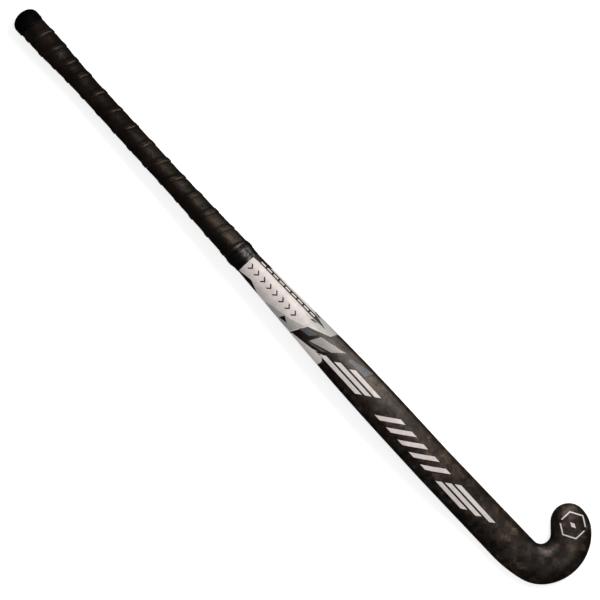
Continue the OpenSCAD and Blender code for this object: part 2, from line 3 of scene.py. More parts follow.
import bmesh
import bpy
import numpy as np
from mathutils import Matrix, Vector


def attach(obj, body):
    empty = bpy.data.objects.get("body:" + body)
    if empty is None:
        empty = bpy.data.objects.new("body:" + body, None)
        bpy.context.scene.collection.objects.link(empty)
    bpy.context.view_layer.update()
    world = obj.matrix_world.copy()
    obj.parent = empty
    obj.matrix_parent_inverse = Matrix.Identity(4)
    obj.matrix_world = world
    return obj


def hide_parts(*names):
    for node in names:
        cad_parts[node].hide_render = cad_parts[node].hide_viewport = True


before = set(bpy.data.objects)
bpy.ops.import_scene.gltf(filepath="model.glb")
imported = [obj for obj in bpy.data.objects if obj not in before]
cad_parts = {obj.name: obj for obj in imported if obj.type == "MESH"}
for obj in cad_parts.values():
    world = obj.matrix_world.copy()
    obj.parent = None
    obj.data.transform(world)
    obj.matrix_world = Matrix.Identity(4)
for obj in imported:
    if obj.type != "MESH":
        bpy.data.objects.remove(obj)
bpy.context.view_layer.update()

MM = 0.001
TAU = 2 * math.pi

# ---- Shape of the stick, in millimetres, as the CAD source states it ----

STICK_LENGTH = 927
BOW_HEIGHT = 19
SHAFT_HALF = 23.6
FACE_DEPTH = 8
BACK_HEIGHT = 15.8
BACK_EXPONENT = 2.35
SHELL_WALL = 2.2
HEEL_RADIUS = 60.5
HOOK_OFFSET = 38
CROOK_RADIUS = 11.3
TOE_RADIUS = 21.7
HEEL_BEND_RADIUS = 48
HEEL_SWEEP_RADIUS = 167
CAP_RADIUS = 16.45
CAP_LENGTH = 20.6
CAP_SHOULDER = 12
CAP_SOLID = 7.4
CAP_SLACK = 0.1
CAP_LIP = 0.7
SPIGOT_LENGTH = 20
SPIGOT_CHAMFER = 1
BOND_GAP = 0.3
BUTT_ROUND = 13.7
BUTT_X = HEEL_RADIUS - STICK_LENGTH
BLADE_CORNER = 9
CORNER_SHARE = 0.97
ROUND_UNTIL = 330
FLAT_FROM = 600
HEAD_X = -146.5
HOOK_X = -40
HANDLE_END = BUTT_X + 380
PEAK_X = -270
DIP_X = -80
FLAT_X = -26
SHAFT_ROWS = [
    (0, BUTT_ROUND, BUTT_ROUND, BUTT_ROUND),
    (52, BUTT_ROUND, BUTT_ROUND, BUTT_ROUND),
    (80, 12.3, 12.3, 12.3),
    (128, 11.2, 11.2, 11.2),
    (200, 11.7, 11.7, 11.7),
    (265, 11.8, 11.8, 11.8),
    (320, 12.8, 12.3, 12.6),
    (375, 14.3, 12.5, 13.3),
    (405, 15.7, 12.2, 13.8),
    (440, 17.1, 11.7, 14.3),
    (500, 19.8, 10.4, 15.1),
    (540, 21.4, 9.5, 15.5),
    (590, 22.9, 8.6, BACK_HEIGHT),
    (650, SHAFT_HALF - 0.1, FACE_DEPTH, BACK_HEIGHT),
    (760, SHAFT_HALF, FACE_DEPTH, BACK_HEIGHT),
]


def mix(a, b, k):
    return a + (b - a) * k


def smooth(k):
    c = np.clip(k, 0, 1)
    return c * c * (3 - 2 * c)


def curve(rows, x, col):
    """Smooth curve through one column of the rows, without humps between them."""
    c = min(max(x, rows[0][0]), rows[-1][0])
    i = max(k for k in range(len(rows) - 1) if k == 0 or c >= rows[k][0])

    def chord(k):
        return (rows[k + 1][col] - rows[k][col]) / (rows[k + 1][0] - rows[k][0])

    def tangent(k):
        if k == 0 or k == len(rows) - 1:
            return chord(0) if k == 0 else chord(k - 1)
        a, b = chord(k - 1), chord(k)
        return 0 if a * b <= 0 else 2 * a * b / (a + b)

    h = rows[i + 1][0] - rows[i][0]
    k = (c - rows[i][0]) / h
    m0, m1 = tangent(i) * h, tangent(i + 1) * h
    return (
        rows[i][col] * (2 * k**3 - 3 * k * k + 1)
        + m0 * (k**3 - 2 * k * k + k)
        + rows[i + 1][col] * (3 * k * k - 2 * k**3)
        + m1 * (k**3 - k * k)
    )


# Bow of the face: straight handle, long rise, crest, then a blend into the flat head
BOW_START = CAP_RADIUS - BUTT_ROUND
HANDLE_SLOPE = (BOW_HEIGHT - BOW_START) / ((HANDLE_END + PEAK_X) / 2 - BUTT_X - CAP_SHOULDER)
RISE_SPAN = PEAK_X - HANDLE_END
FALL_SLOPE = 2 * BOW_HEIGHT / (FLAT_X - PEAK_X)
CREST_RADIUS = (DIP_X - PEAK_X) / FALL_SLOPE
BLEND_RADIUS = (FLAT_X - DIP_X) / FALL_SLOPE


def bow(x):
    return np.select(
        [x < HANDLE_END, x < PEAK_X, x < DIP_X, x < FLAT_X],
        [
            BOW_START + HANDLE_SLOPE * (x - BUTT_X - CAP_SHOULDER),
            BOW_HEIGHT - HANDLE_SLOPE * (PEAK_X - x) ** 2 / (2 * RISE_SPAN),
            BOW_HEIGHT - (x - PEAK_X) ** 2 / (2 * CREST_RADIUS),
            (FLAT_X - x) ** 2 / (2 * BLEND_RADIUS),
        ],
        0.0,
    )


def bow_angle(x):
    return np.arctan(
        np.select(
            [x < HANDLE_END, x < PEAK_X, x < DIP_X, x < FLAT_X],
            [
                HANDLE_SLOPE,
                HANDLE_SLOPE * (PEAK_X - x) / RISE_SPAN,
                -(x - PEAK_X) / CREST_RADIUS,
                -(FLAT_X - x) / BLEND_RADIUS,
            ],
            0.0,
        )
    )


def lift(x, y, h):
    """Points at (x, y) of the plan, h above the bowed face and square to it."""
    x, y, h = np.broadcast_arrays(np.asarray(x, float), y, h)
    a = bow_angle(x)
    return np.stack([x - h * np.sin(a), y, bow(x) + h * np.cos(a)], axis=-1)


# Plan of the head: lines and arcs from the shaft round to the tip of the toe
def on_circle(c, r, degrees):
    a = math.radians(degrees)
    return np.array([c[0] + r * math.cos(a), c[1] + r * math.sin(a)])


HOOK_CENTRE = np.array([0.0, HOOK_OFFSET])
CROOK_CENTRE = np.array([1.2, HOOK_OFFSET])
TOE_CENTRE = np.array([12.4, HOOK_OFFSET + 34.4])
TOE_TIP_ANGLE = 158
HEEL_BEND_FROM = -35
HEEL_SWEEP_FROM = -74
TOP_RISE = TOE_CENTRE[1] + TOE_RADIUS - HOOK_OFFSET
TOP_RADIUS = (HEEL_RADIUS**2 - TOE_CENTRE[0] ** 2 - TOP_RISE**2) / (2 * (HEEL_RADIUS - TOP_RISE))
TOP_CENTRE = np.array([TOE_CENTRE[0], TOE_CENTRE[1] + TOE_RADIUS - TOP_RADIUS])
TOP_FROM = math.degrees(math.atan2(TOP_CENTRE[1] - HOOK_OFFSET, TOP_CENTRE[0]))
HEEL_BEND_CENTRE = on_circle(HOOK_CENTRE, HEEL_RADIUS - HEEL_BEND_RADIUS, HEEL_BEND_FROM)
HEEL_SWEEP_CENTRE = on_circle(
    HEEL_BEND_CENTRE, HEEL_BEND_RADIUS - HEEL_SWEEP_RADIUS, HEEL_SWEEP_FROM
)


def touch_angle(p, c, r):
    d = c - p
    return math.degrees(math.atan2(d[1], d[0]) - math.asin(r / np.hypot(*d))) - 90


TOE_LINE_START = np.array([HEAD_X, SHAFT_HALF])
HEEL_LINE_START = np.array([HEAD_X, -SHAFT_HALF])
CROOK_FROM = touch_angle(TOE_LINE_START, CROOK_CENTRE, CROOK_RADIUS)
SWEEP_FROM = touch_angle(HEEL_LINE_START, HEEL_SWEEP_CENTRE, HEEL_SWEEP_RADIUS)
FLANK = CROOK_CENTRE - TOE_CENTRE
FLANK_FROM = math.degrees(
    math.atan2(FLANK[1], FLANK[0]) - math.acos((TOE_RADIUS + CROOK_RADIUS) / np.hypot(*FLANK))
)
CROOK_START = on_circle(CROOK_CENTRE, CROOK_RADIUS, CROOK_FROM)
SWEEP_START = on_circle(HEEL_SWEEP_CENTRE, HEEL_SWEEP_RADIUS, SWEEP_FROM)


def line_point(a, b, x):
    return mix(a, b, (x - a[0]) / (b[0] - a[0]))


def segment_length(s):
    if s[0] == "line":
        return np.hypot(*(s[2] - s[1]))
    return abs(math.radians(s[4] - s[3])) * s[2]


def path_length(path):
    return sum(segment_length(s) for s in path)


def path_at(path, d):
    for i, s in enumerate(path):
        length = segment_length(s)
        if d <= length or i == len(path) - 1:
            k = min(d, length) / length
            if s[0] == "line":
                return mix(s[1], s[2], k)
            return on_circle(s[1], s[2], mix(s[3], s[4], k))
        d -= length


INNER_PATH = [
    ("line", line_point(TOE_LINE_START, CROOK_START, HOOK_X), CROOK_START),
    ("arc", CROOK_CENTRE, CROOK_RADIUS, CROOK_FROM, FLANK_FROM + 180),
    (
        "line",
        on_circle(CROOK_CENTRE, CROOK_RADIUS, FLANK_FROM + 180),
        on_circle(TOE_CENTRE, TOE_RADIUS, FLANK_FROM),
    ),
    ("arc", TOE_CENTRE, TOE_RADIUS, FLANK_FROM, TOE_TIP_ANGLE - 360),
]
OUTER_PATH = [
    ("line", line_point(HEEL_LINE_START, SWEEP_START, HOOK_X), SWEEP_START),
    ("arc", HEEL_SWEEP_CENTRE, HEEL_SWEEP_RADIUS, SWEEP_FROM, HEEL_SWEEP_FROM),
    ("arc", HEEL_BEND_CENTRE, HEEL_BEND_RADIUS, HEEL_SWEEP_FROM, HEEL_BEND_FROM),
    ("arc", HOOK_CENTRE, HEEL_RADIUS, HEEL_BEND_FROM, TOP_FROM),
    ("arc", TOP_CENTRE, TOP_RADIUS, TOP_FROM, 90),
    ("arc", TOE_CENTRE, TOE_RADIUS, 90, TOE_TIP_ANGLE),
]
INNER_LENGTH = path_length(INNER_PATH)
OUTER_LENGTH = path_length(OUTER_PATH)
PAIRING = [
    (0, 0, 0),
    (
        0.5,
        segment_length(INNER_PATH[0])
        + segment_length(("arc", CROOK_CENTRE, CROOK_RADIUS, CROOK_FROM, 0)),
        path_length(OUTER_PATH[:3])
        + segment_length(("arc", HOOK_CENTRE, HEEL_RADIUS, HEEL_BEND_FROM, 0)),
    ),
    (
        0.75,
        INNER_LENGTH - segment_length(INNER_PATH[3]),
        OUTER_LENGTH - segment_length(OUTER_PATH[5]),
    ),
    (1, INNER_LENGTH, OUTER_LENGTH),
]


def toe_edge(f):
    return path_at(INNER_PATH, curve(PAIRING, f, 1))


def heel_edge(f):
    return path_at(OUTER_PATH, curve(PAIRING, f, 2))


WIDEST_AT = 0.6
WIDEST = np.hypot(*(toe_edge(WIDEST_AT) - heel_edge(WIDEST_AT))) / 2


class Station:
    """One cross section: its middle and half rib on the plan, and the sizes of its outline."""

    def __init__(self, toe, heel, depth, height, corner, power, closing):
        self.mid, self.half = (toe + heel) / 2, (toe - heel) / 2
        self.wide = np.hypot(*self.half)
        self.depth, self.height, self.corner = depth, height, corner
        self.power, self.closing = power, closing


def shaft_station(x):
    d = x - BUTT_X
    w = curve(SHAFT_ROWS, d, 1)
    k = float(smooth((d - ROUND_UNTIL) / (FLAT_FROM - ROUND_UNTIL)))
    on_shaft = x < HEAD_X
    toe = np.array([x, w]) if on_shaft else line_point(TOE_LINE_START, CROOK_START, x)
    heel = np.array([x, -w]) if on_shaft else line_point(HEEL_LINE_START, SWEEP_START, x)
    depth, height = curve(SHAFT_ROWS, d, 2), curve(SHAFT_ROWS, d, 3)
    corner = mix(CORNER_SHARE * w, BLADE_CORNER, k)
    return Station(toe, heel, depth, height, corner, mix(2, BACK_EXPONENT, k), 1)


def head_station(f):
    toe, heel = toe_edge(f), heel_edge(f)
    half = np.hypot(*(toe - heel)) / 2
    closing = min(1, half / WIDEST) if f > WIDEST_AT else 1
    return Station(toe, heel, FACE_DEPTH, BACK_HEIGHT, BLADE_CORNER, BACK_EXPONENT, closing)


# Samples round a section: over the back, down a rounded corner, across the face, and up
class Rim:
    def __init__(self, back, corner, flat):
        a = [math.pi * i / back for i in range(back + 1)]
        c = [math.pi / 2 * i / corner for i in range(1, corner + 1)]
        t = [mix(-1, 1, i / (flat + 1)) for i in range(1, flat + 1)]
        n = len(a), len(c), len(t)
        self.on_back = np.array([1] * n[0] + [0] * (2 * n[1] + n[2]), bool)
        self.on_flat = np.array([0] * (n[0] + n[1]) + [1] * n[2] + [0] * n[1], bool)
        self.angle = np.array(a + c + [0] * n[2] + c[::-1])
        self.side = np.array([0] * n[0] + [-1] * n[1] + t + [1] * n[1])
        self.turn = np.array(
            a + [math.pi + x for x in c] + [1.5 * math.pi] * n[2] + [TAU - x for x in c[::-1]]
        )
        self.top = back // 2
        self.seam = n[0] + n[1] + n[2] // 2
        self.count = len(self.angle)


RIM = Rim(72, 12, 7)


def back_at(st, v, grow=0.0):
    e = np.sqrt(np.clip(1 - (1 - v * v) * st.closing**2, 0, 1))
    return st.depth + (st.height + grow) * np.clip(1 - e**st.power, 0, None) ** (1 / st.power)


def face_at(st, v, grow=0.0):
    e = np.sqrt(np.clip(1 - (1 - v * v) * st.closing**2, 0, 1))
    c = (st.corner + grow) / (st.wide / st.closing + grow)
    e = np.clip((e - (1 - c)) / c, 0, None)
    return st.depth - (st.depth + grow) * np.sqrt(np.clip(1 - e * e, 0, None))


def section(st, grow=0.0):
    """One closed ring of points round the stick, grown outwards by grow."""
    c = np.minimum(CORNER_SHARE, (st.corner + grow) / (st.wide + grow))
    v = np.where(
        RIM.on_back,
        np.cos(RIM.angle),
        np.where(RIM.on_flat, RIM.side * (1 - c), RIM.side * (1 - c * (1 - np.cos(RIM.angle)))),
    )
    share = v * (st.wide + grow) / st.wide
    h = np.where(RIM.on_back, back_at(st, v, grow), face_at(st, v, grow))
    return lift(st.mid[0] + st.half[0] * share, st.mid[1] + st.half[1] * share, h)


# ---- Pieces ----

UV = "surface"
SHARP_EDGE = math.radians(50)


def make_piece(name, points, faces, corner_uvs, nodes, material):
    """A mesh in metres that rides on the stick and stands for CAD nodes. UVs are in metres."""
    mesh = bpy.data.meshes.new(name)
    mesh.from_pydata((np.asarray(points) * MM).tolist(), [], faces)
    if corner_uvs is not None:
        layer = mesh.uv_layers.new(name=UV)
        layer.data.foreach_set("uv", (np.asarray(corner_uvs) * MM).ravel())
    bm = bmesh.new()
    bm.from_mesh(mesh)
    bmesh.ops.recalc_face_normals(bm, faces=bm.faces)
    for f in bm.faces:
        f.smooth = True
    for e in bm.edges:
        e.smooth = len(e.link_faces) != 2 or e.calc_face_angle() < SHARP_EDGE
    bm.to_mesh(mesh)
    bm.free()
    mesh.materials.append(material)
    piece = bpy.data.objects.new(name, mesh)
    bpy.context.scene.collection.objects.link(piece)
    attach(piece, "root")
    if nodes:
        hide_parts(*nodes)


def loft_faces(count, n, closed_rings=False):
    """Quads between rings of n points each, with each quad's two rings and first rim index."""
    faces, starts = [], []
    for i in range(count if closed_rings else count - 1):
        a, b = i * n, (i + 1) % count * n
        for j in range(n):
            k = (j + 1) % n
            faces.append((a + j, a + k, b + k, b + j))
            starts.append((i, (i + 1) % count, j))
    return faces, starts


def loft_uvs(rings, stations, starts):
    """Real lengths over the skin: the rib's middle on the plan, then the way round the section."""
    n = RIM.count
    forward, backward = [], []
    for ring in rings:
        step = np.linalg.norm(np.roll(ring, -1, axis=0) - ring, axis=1)
        f, b = np.zeros(n), np.zeros(n)
        for j in range(RIM.top, RIM.seam):
            f[j + 1] = f[j] - step[j]
        for j in range(RIM.top, RIM.seam - n, -1):
            b[(j - 1) % n] = b[j % n] + step[(j - 1) % n]
        forward.append(f)
        backward.append(b)
    uvs = []
    for i, m, j in starts:
        k = (j + 1) % n
        ways = forward if RIM.top <= j < RIM.seam else backward
        for r, s in ((i, j), (i, k), (m, k), (m, j)):
            st = stations[r]
            uvs.append(st.mid + st.half / st.wide * ways[r][s])
    return uvs


def spread(a, b, n):
    return [mix(a, b, i / n) for i in range(n + 1)]


def stick_piece(name, stations, grows, nodes, material, inner=None):
    """A skin over the stick's stations, closed at its ends or hollow with an inner skin."""
    rings = [section(st, g) for st, g in zip(stations, grows)]
    n = RIM.count
    if inner is None:
        faces, starts = loft_faces(len(rings), n)
        uvs = loft_uvs(rings, stations, starts)
        last = (len(rings) - 1) * n
        ends = [tuple(range(n)), tuple(last + j for j in range(n))]
        faces += ends
        uvs += [stations[0].mid] * n + [stations[-1].mid] * n
    else:
        rings += [section(st, g) for st, g in zip(inner[0], inner[1])][::-1]
        stations = stations + inner[0][::-1]
        faces, starts = loft_faces(len(rings), n, True)
        uvs = loft_uvs(rings, stations, starts)
    make_piece(name, np.concatenate(rings), faces, uvs, nodes, material)


# ---- Node materials ----


class Look:
    """A Principled material and short ways to add nodes to it."""

    def __init__(self, name, **values):
        self.material = bpy.data.materials.new(name)
        self.material.use_nodes = True
        self.tree = self.material.node_tree
        self.shader = self.tree.nodes["Principled BSDF"]
        for key, value in values.items():
            self.shader.inputs[key.replace("_", " ")].default_value = value

    def put(self, kind, props=None, **inputs):
        made = self.tree.nodes.new("ShaderNode" + kind)
        for key, value in (props or {}).items():
            setattr(made, key, value)
        for key, value in inputs.items():
            self.feed(made, int(key[1:]) if key[1:].isdigit() else key.replace("_", " "), value)
        return made

    def feed(self, made, key, value):
        socket = made.inputs[key]
        if isinstance(value, bpy.types.NodeSocket):
            self.tree.links.new(value, socket)
        else:
            socket.default_value = value

    def calc(self, operation, a, b=0.0, c=0.0):
        return self.put("Math", {"operation": operation}, i0=a, i1=b, i2=c).outputs[0]

    def vector(self, operation, a, b=(0, 0, 0)):
        return self.put("VectorMath", {"operation": operation}, i0=a, i1=b).outputs[0]

    def scaled(self, source, scale):
        return self.vector("MULTIPLY", source, scale if hasattr(scale, "__len__") else (scale,) * 3)

    def uv(self):
        return self.put("UVMap", {"uv_map": UV}).outputs[0]

    def place(self):
        return self.put("TexCoord").outputs["Object"]

    def noise(self, source, scale, detail=3.0, rough=0.5, out=0):
        return self.put(
            "TexNoise", None, Vector=source, Scale=scale, Detail=detail, Roughness=rough
        ).outputs[out]

    def ramp(self, source, *stops):
        made = self.put("ValToRGB", None, Fac=source)
        ramp = made.color_ramp
        while len(ramp.elements) < len(stops):
            ramp.elements.new(0.5)
        for element, (at, colour) in zip(ramp.elements, stops):
            element.position = at
            element.color = (*colour, 1)
        return made.outputs[0]

    def range(self, source, a, b, low, high):
        return self.put("MapRange", None, i0=source, i1=a, i2=b, i3=low, i4=high).outputs[0]

    def blend(self, factor, a, b):
        made = self.put("Mix", {"data_type": "RGBA"}, i0=factor)
        self.feed(made, 6, a)
        self.feed(made, 7, b)
        return made.outputs[2]

    def bump(self, height, distance, strength=1.0, normal=None):
        made = self.put("Bump", None, Height=height, Distance=distance, Strength=strength)
        if normal is not None:
            self.feed(made, "Normal", normal)
        return made.outputs[0]

    def wear(self, key, value):
        self.feed(self.shader, key, value)


def srgb(r, g, b):
    """Linear colour of an sRGB byte triple."""
    return tuple(
        (c / 255 / 12.92) if c / 255 <= 0.04045 else ((c / 255 + 0.055) / 1.055) ** 2.4
        for c in (r, g, b)
    )


TOW_WIDTH = 0.0082


def tow_weave(look, uv):
    """Plain weave of wide tows at 45 degrees: its coordinates, its cells and the tow on top."""
    wander = look.noise(uv, 75, 3, out=1)
    drift = look.scaled(look.vector("SUBTRACT", wander, (0.5, 0.5, 0.5)), 0.8)
    turned = look.put(
        "Mapping",
        None,
        Vector=uv,
        Rotation=(0, 0, math.radians(45)),
        Scale=(1 / TOW_WIDTH,) * 3,
    ).outputs[0]
    weave = look.vector("ADD", turned, drift)
    cell = look.vector("FLOOR", weave)
    xy = look.put("SeparateXYZ", None, i0=cell)
    over = look.calc("FLOORED_MODULO", look.calc("ADD", xy.outputs[0], xy.outputs[1]), 2.0)
    return weave, cell, over


def carbon_look(name):
    look = Look(name, Metallic=0.6, Coat_Weight=0.3, Coat_Roughness=0.35, Specular_IOR_Level=0.3)
    uv = look.uv()
    weave, cell, over = tow_weave(look, uv)
    cell_middle = look.vector("ADD", cell, (0.5, 0.5, 3.5))
    chance = look.put("TexWhiteNoise", {"noise_dimensions": "3D"}, Vector=cell_middle)
    pick = look.put("SeparateXYZ", None, i0=chance.outputs["Color"])
    along = look.noise(look.scaled(weave, (0.5, 15, 1)), 1, 4, 0.6)
    across = look.noise(look.scaled(weave, (15, 0.5, 1)), 1, 4, 0.6)
    fibre = look.put("Mix", {"data_type": "FLOAT"}, i0=over, i2=along, i3=across).outputs[0]
    blotch = look.noise(uv, 85, 3, 0.6)
    cloud = look.noise(uv, 17, 2, 0.5)
    tone = look.calc("MULTIPLY", chance.outputs["Value"], 0.16)
    tone = look.calc("MULTIPLY_ADD", over, 0.07, tone)
    tone = look.calc("MULTIPLY_ADD", fibre, 0.25, tone)
    tone = look.calc("MULTIPLY_ADD", blotch, 0.85, tone)
    tone = look.calc("MULTIPLY_ADD", cloud, 0.60, tone)
    tone = look.range(tone, 0.62, 1.25, 0, 1)
    look.wear(
        "Base Color",
        look.ramp(
            tone,
            (0.0, srgb(13, 10, 9)),
            (0.35, srgb(28, 22, 19)),
            (0.7, srgb(50, 41, 34)),
            (1.0, srgb(88, 74, 62)),
        ),
    )
    look.wear("Roughness", look.range(fibre, 0.3, 0.7, 0.4, 0.55))
    in_cell = look.put("SeparateXYZ", None, i0=look.vector("SUBTRACT", weave, cell))
    lean_a = look.calc("MULTIPLY", in_cell.outputs[0], look.calc("SUBTRACT", pick.outputs[0], 0.5))
    lean_b = look.calc("MULTIPLY", in_cell.outputs[1], look.calc("SUBTRACT", pick.outputs[1], 0.5))
    height = look.calc("ADD", lean_a, lean_b)
    height = look.calc("MULTIPLY_ADD", fibre, 0.12, height)
    look.wear("Normal", look.bump(height, 0.0012, 0.8))
    peel = look.noise(look.place(), 260, 2)
    look.wear("Coat Normal", look.bump(peel, 0.00006, 0.5))
    return look.material


RIB_LEAN = math.radians(-20)
RIB_COLOUR = (112, 108, 103)
CORNER_COLOUR = (140, 142, 140)


def ink_look(name, light, dark, ribs=0.0, corner=False):
    """Printed ink, which the weave shows through, with leaning ribs or a shaded corner."""
    look = Look(name, Coat_Weight=0.12, Coat_Roughness=0.35, Specular_IOR_Level=0.2)
    uv = look.uv()
    over = tow_weave(look, uv)[2]
    grain = look.noise(look.place(), 900, 3, 0.6)
    tint = look.noise(look.place(), 70, 3, 0.6)
    tone = look.calc("MULTIPLY_ADD", grain, 0.45, look.calc("MULTIPLY", tint, 0.55))
    tone = look.calc("MULTIPLY_ADD", over, 0.04, tone)
    tone = look.range(tone, 0.36, 0.62, 0, 1)
    colour = look.blend(tone, (*dark, 1), (*light, 1))
    if ribs:
        leant = look.put("Mapping", None, Vector=uv, Rotation=(0, 0, RIB_LEAN)).outputs[0]
        bands = {"wave_type": "BANDS", "bands_direction": "Y"}
        wave = look.put("TexWave", bands, Vector=leant, Scale=ribs).outputs[1]
        line = look.range(wave, 0.35, 0.6, 0, 1)
        colour = look.blend(line, colour, (*srgb(*RIB_COLOUR), 1))
    if corner:
        xyz = look.put("SeparateXYZ", None, i0=look.place())
        near_end = look.range(xyz.outputs[0], -0.384, -0.366, 0, 0.75)
        toe_side = look.range(xyz.outputs[1], 0.004, 0.009, 0, 1)
        shaded = look.calc("MULTIPLY", near_end, toe_side)
        colour = look.blend(shaded, colour, (*srgb(*CORNER_COLOUR), 1))
    look.wear("Base Color", colour)
    look.wear("Roughness", look.range(grain, 0.3, 0.7, 0.36, 0.5))
    look.wear("Normal", look.bump(grain, 0.00004, 0.6))
    return look.material


def grip_look(name):
    look = Look(name, Specular_IOR_Level=0.38, Coat_Weight=0.05, Coat_Roughness=0.25)
    look.shader.inputs["Specular Tint"].default_value = (1.0, 0.86, 0.76, 1)
    place = look.place()
    cells = look.put(
        "TexVoronoi", {"feature": "SMOOTH_F1"}, Vector=place, Scale=950.0, Smoothness=0.35
    ).outputs["Distance"]
    grain = look.noise(place, 1700, 3, 0.6)
    soft = look.noise(place, 55, 3, 0.55)
    tone = look.calc("MULTIPLY_ADD", cells, 0.25, look.calc("MULTIPLY", soft, 0.9))
    look.wear(
        "Base Color",
        look.ramp(
            look.range(tone, 0.3, 0.8, 0, 1),
            (0.0, srgb(9, 6, 4)),
            (0.5, srgb(16, 11, 8)),
            (1.0, srgb(28, 20, 15)),
        ),
    )
    look.wear("Roughness", look.range(soft, 0.3, 0.7, 0.36, 0.48))
    pits = look.bump(cells, 0.0001, 0.7)
    folds = look.noise(look.scaled(place, (1, 2.2, 2.2)), 130, 3, 0.6)
    look.wear("Normal", look.bump(folds, 0.0006, 0.5, look.bump(grain, 0.00005, 0.5, pits)))
    return look.material


def band_look(name):
    look = Look(name, Specular_IOR_Level=0.3, Coat_Weight=0.1, Coat_Roughness=0.16)
    place = look.place()
    drag = look.noise(look.scaled(place, (9, 1, 1)), 60, 3, 0.6)
    fine = look.noise(place, 1300, 2)
    look.wear("Base Color", look.ramp(drag, (0.3, srgb(5, 5, 5)), (0.75, srgb(14, 13, 12))))
    look.wear("Roughness", look.range(drag, 0.3, 0.7, 0.22, 0.38))
    look.wear("Normal", look.bump(drag, 0.0003, 0.6, look.bump(fine, 0.00003, 0.4)))
    return look.material


def rubber_look(name):
    look = Look(name, Specular_IOR_Level=0.13)
    place = look.place()
    pebble = look.put("TexVoronoi", {"feature": "SMOOTH_F1"}, Vector=place, Scale=1300.0).outputs[0]
    dust = look.noise(place, 90, 4, 0.65)
    look.wear("Base Color", look.ramp(dust, (0.3, srgb(2, 2, 2)), (0.7, srgb(5, 5, 5))))
    look.wear("Roughness", look.range(dust, 0.3, 0.7, 0.42, 0.6))
    look.wear("Normal", look.bump(pebble, 0.00007, 0.6))
    return look.material


def tube_look(name):
    look = Look(name, Coat_Weight=0.4, Coat_Roughness=0.3)
    place = look.place()
    wave = look.put(
        "TexWave",
        {"wave_type": "BANDS", "bands_direction": "DIAGONAL"},
        Vector=place,
        Scale=160.0,
        Distortion=1.5,
    ).outputs[1]
    fibre = look.noise(look.scaled(place, (1, 12, 12)), 60, 4)
    look.wear("Base Color", look.blend(wave, (*srgb(22, 22, 23), 1), (*srgb(52, 52, 54), 1)))
    look.wear("Roughness", look.range(fibre, 0.3, 0.7, 0.35, 0.6))
    look.wear("Normal", look.bump(wave, 0.0002, 0.5, look.bump(fibre, 0.0001, 0.4)))
    return look.material


def foam_look(name):
    look = Look(name, Specular_IOR_Level=0.3)
    place = look.place()
    cells = look.put("TexVoronoi", {"feature": "F1"}, Vector=place, Scale=1100.0).outputs[0]
    blush = look.noise(place, 70, 3)
    look.wear("Base Color", look.ramp(blush, (0.3, srgb(212, 192, 140)), (0.7, srgb(232, 216, 172))))
    look.wear("Roughness", look.range(cells, 0.0, 0.6, 0.95, 0.75))
    look.wear("Normal", look.bump(cells, 0.0004, 0.8))
    return look.material


carbon = carbon_look("spread_tow_carbon")
grip_cushion = grip_look("cushioned_grip")
band_vinyl = band_look("stretched_vinyl")
cap_rubber = rubber_look("butt_rubber")
white_ink = ink_look("white_ink", srgb(214, 207, 205), srgb(192, 184, 182))
panel_ink = ink_look("panel_ink", srgb(214, 207, 205), srgb(192, 184, 182), corner=True)
black_ink = ink_look("black_ink", srgb(14, 12, 11), srgb(8, 7, 7))
grey_ink = ink_look("grey_ink", srgb(172, 172, 167), srgb(148, 149, 146))
ribbed_ink = ink_look("ribbed_grey_ink", srgb(184, 182, 176), srgb(160, 158, 152), ribs=210.0)
slate_ink = ink_look("slate_ink", srgb(82, 84, 88), srgb(64, 66, 70))

# ---- Shell: the carbon skin, hollow as the CAD shell is ----

HANDLE_ANGLE = float(bow_angle(np.float64(BUTT_X)))
AXIS_SHIFT = BUTT_ROUND * math.sin(HANDLE_ANGLE)
SHELL_START = BUTT_X + AXIS_SHIFT + CAP_SOLID + CAP_SLACK
TAPE_X = -490
HEAD_JOIN = 6
CAVITY_END = 0.8
TIP_END = 0.985
TIP_EXPONENT = 1.7
outside = [shaft_station(x) for x in spread(SHELL_START, TAPE_X, 40)]
outside += [shaft_station(x) for x in spread(TAPE_X, HOOK_X, 220)[1:-1]]
outside += [head_station(1 - (1 - u) ** TIP_EXPONENT) for u in spread(0, TIP_END, 170)]
inside = [shaft_station(x) for x in spread(SHELL_START, HOOK_X - HEAD_JOIN, 60)]
inside += [head_station(f) for f in spread(0, CAVITY_END, 24)]


def make_shell():
    stations = inside[::-1] + outside
    grows = [-SHELL_WALL] * len(inside) + [0.0] * len(outside)
    stick_piece("carbon_shell", stations, grows, ["outer_shell"], carbon)


make_shell()

# ---- End cap ----

AXIS = np.array([math.cos(HANDLE_ANGLE), 0, math.sin(HANDLE_ANGLE)])
ACROSS = np.array([-math.sin(HANDLE_ANGLE), 0, math.cos(HANDLE_ANGLE)])
TIP = lift(BUTT_X + AXIS_SHIFT, 0.0, BUTT_ROUND)
SIDEWAYS = np.array([0, 1, 0])
DOME_FROM = math.radians(1.5)


